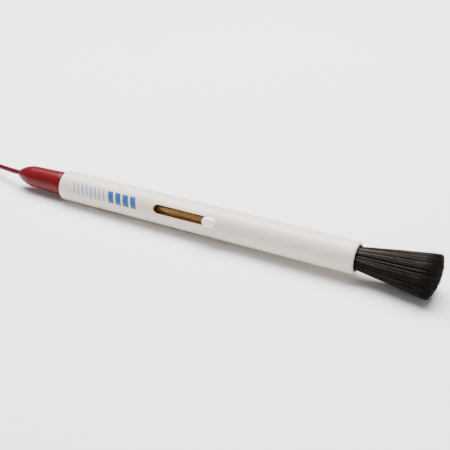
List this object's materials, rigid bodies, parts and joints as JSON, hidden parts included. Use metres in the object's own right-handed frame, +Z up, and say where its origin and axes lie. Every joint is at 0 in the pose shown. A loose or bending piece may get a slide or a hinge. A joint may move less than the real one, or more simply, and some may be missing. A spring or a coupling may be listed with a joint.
{
  "type": "grounded cleaning brush pen",
  "caption": "White pen-shaped cleaning brush with a slide knob, a flared dark brush and a red earthing plug and lead that ends in a crocodile clip.",
  "frame": {"origin": "under the middle of the pen without its plug and lead, on the surface that it lies on", "axes": "+X along the pen towards the brush, which lifts 0.77 degrees because its tip is wider than the barrel; +Z up; the slot and knob face -Y and up"},
  "size_m": [0.3275, 0.021, 0.017],
  "materials": {
    "white_plastic": "satin",
    "black_plastic": "matte",
    "nickel": "polished",
    "brass": "satin",
    "rubber": "matte",
    "aluminium": "satin",
    "resin": "matte",
    "bristle": "matte",
    "red_vinyl": "glossy",
    "red_wire": "satin",
    "black_strap": "matte",
    "spring_steel": "satin"
  },
  "bodies": {
    "pen": {"barrel": "white_plastic", "rear_insert": "black_plastic", "socket": "nickel", "socket_washer": "nickel", "socket_nut": "nickel", "contact_rod": "brass"},
    "brush": {"slide_tube": "brass", "knob": "white_plastic", "knob_pin": "brass", "guide_ring": "black_plastic", "friction_ring": "rubber", "ferrule": "aluminium", "bristle_resin": "resin", "bristles": "bristle"},
    "plug": {"plug_boot": "red_vinyl", "plug_core": "brass", "plug_leaves": "nickel", "plug_screw": "nickel", "cord_lead": "red_wire", "cord_hank": "red_wire", "cord_tail": "red_wire", "hank_tie": "black_strap", "clip_sleeve": "red_vinyl", "clip_frame": "nickel", "clip_pin": "nickel", "clip_spring": "spring_steel", "clip_screw": "nickel"},
    "jaw": {"clip_jaw": "nickel"}
  },
  "joints": [
    {"name": "brush_slide", "type": "slide", "parent": "pen", "child": "brush", "axis": [0.9999, 0, 0.0135], "range_m": [-0.0235, 0], "deforming": ["bristles"]},
    {"name": "plug_pull", "type": "slide", "parent": "pen", "child": "plug", "axis": [-0.9999, 0, -0.0135], "range_m": [0, 0.015]},
    {"name": "clip_open", "type": "hinge", "parent": "plug", "child": "jaw", "pos_m": [-0.22695, 0.00258, 0.0037], "axis": [-0.1045, 0.9945, 0], "range_deg": [0, 22], "stiffness_Nm_per_rad": 0.02, "springref_deg": -28.65}
  ]
}
